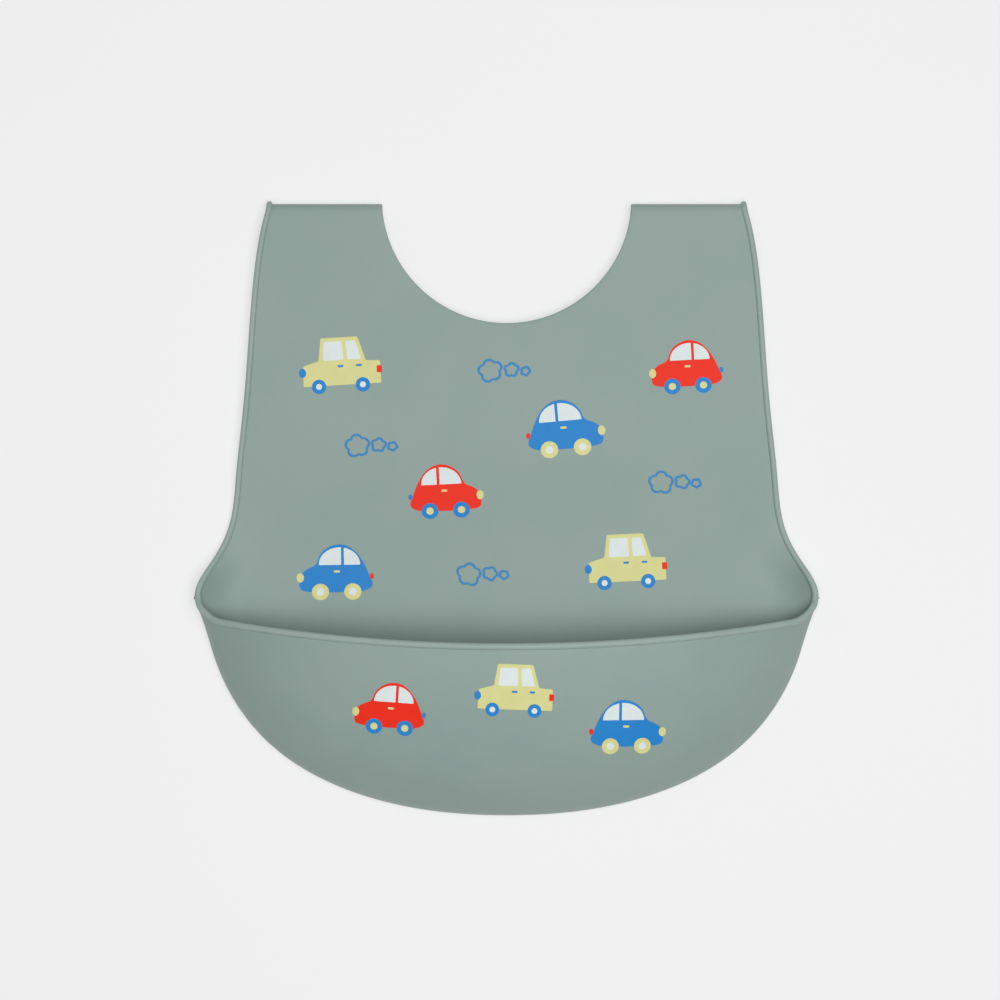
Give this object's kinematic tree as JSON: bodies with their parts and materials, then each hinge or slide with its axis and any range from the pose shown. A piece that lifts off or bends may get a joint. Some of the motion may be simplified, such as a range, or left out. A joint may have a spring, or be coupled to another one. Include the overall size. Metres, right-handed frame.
{
  "type": "silicone bib",
  "caption": "Soft silicone baby bib with an open scoop pocket along the bottom, printed toy cars, and a collar of two straps folded behind it that button at the nape.",
  "frame": {"origin": "centre of the footprint of the bib as it lies on its back, at the level it rests on", "axes": "+Z out of the printed front, +Y from the pocket to the neck, +X to the right as one looks at the front"},
  "size_m": [0.274, 0.268, 0.0458],
  "materials": {
    "silicone": "matte",
    "silicone_bead": "matte",
    "ink_red": "satin",
    "ink_blue": "satin",
    "ink_yellow": "satin"
  },
  "bodies": {
    "root": {"front_panel": "silicone", "pocket_wall": "silicone", "red_car_shoulder": "ink_red", "yellow_car_shoulder": "ink_yellow", "blue_car_chest": "ink_blue", "red_car_chest": "ink_red", "blue_car_belly": "ink_blue", "yellow_car_belly": "ink_yellow", "puff_neck": "ink_blue", "puff_left": "ink_blue", "puff_right": "ink_blue", "puff_belly": "ink_blue", "red_car_pocket": "ink_red", "yellow_car_pocket": "ink_yellow", "blue_car_pocket": "ink_blue"},
    "pocket_rim": {"pocket_rim": "silicone_bead"},
    "left_shoulder": {"left_shoulder_fold": "silicone"},
    "left_strap": {"left_strap": "silicone", "button": "silicone_bead"},
    "right_shoulder": {"right_shoulder_fold": "silicone"},
    "right_strap": {"right_strap": "silicone"}
  },
  "joints": [
    {"name": "rim_flex", "type": "hinge", "parent": "root", "child": "pocket_rim", "pos_m": [0, -0.0465, 0.003], "axis": [1, 0, 0], "range_deg": [-12, 25], "stiffness_Nm_per_rad": 0.05, "deforming": ["pocket_wall", "red_car_pocket", "yellow_car_pocket", "blue_car_pocket"]},
    {"name": "left_shoulder_bend", "type": "hinge", "parent": "root", "child": "left_shoulder", "pos_m": [-0.0796, 0.13248, 0.00768], "axis": [1, 0, 0], "range_deg": [0, 90], "deforming": ["left_shoulder_fold"]},
    {"name": "left_strap_bend", "type": "hinge", "parent": "left_shoulder", "child": "left_strap", "pos_m": [-0.0796, 0.13248, 0.00312], "axis": [1, 0, 0], "range_deg": [0, 90], "deforming": ["left_shoulder_fold"]},
    {"name": "right_shoulder_bend", "type": "hinge", "parent": "root", "child": "right_shoulder", "pos_m": [0.0796, 0.13248, 0.00768], "axis": [1, 0, 0], "range_deg": [0, 90], "deforming": ["right_shoulder_fold"]},
    {"name": "right_strap_bend", "type": "hinge", "parent": "right_shoulder", "child": "right_strap", "pos_m": [0.0796, 0.13248, 0.00312], "axis": [1, 0, 0], "range_deg": [0, 90], "deforming": ["right_shoulder_fold"]}
  ],
  "couplings": [
    {"joint": "left_strap_bend", "follows": "left_shoulder_bend", "ratio": 1},
    {"joint": "right_strap_bend", "follows": "right_shoulder_bend", "ratio": 1}
  ]
}
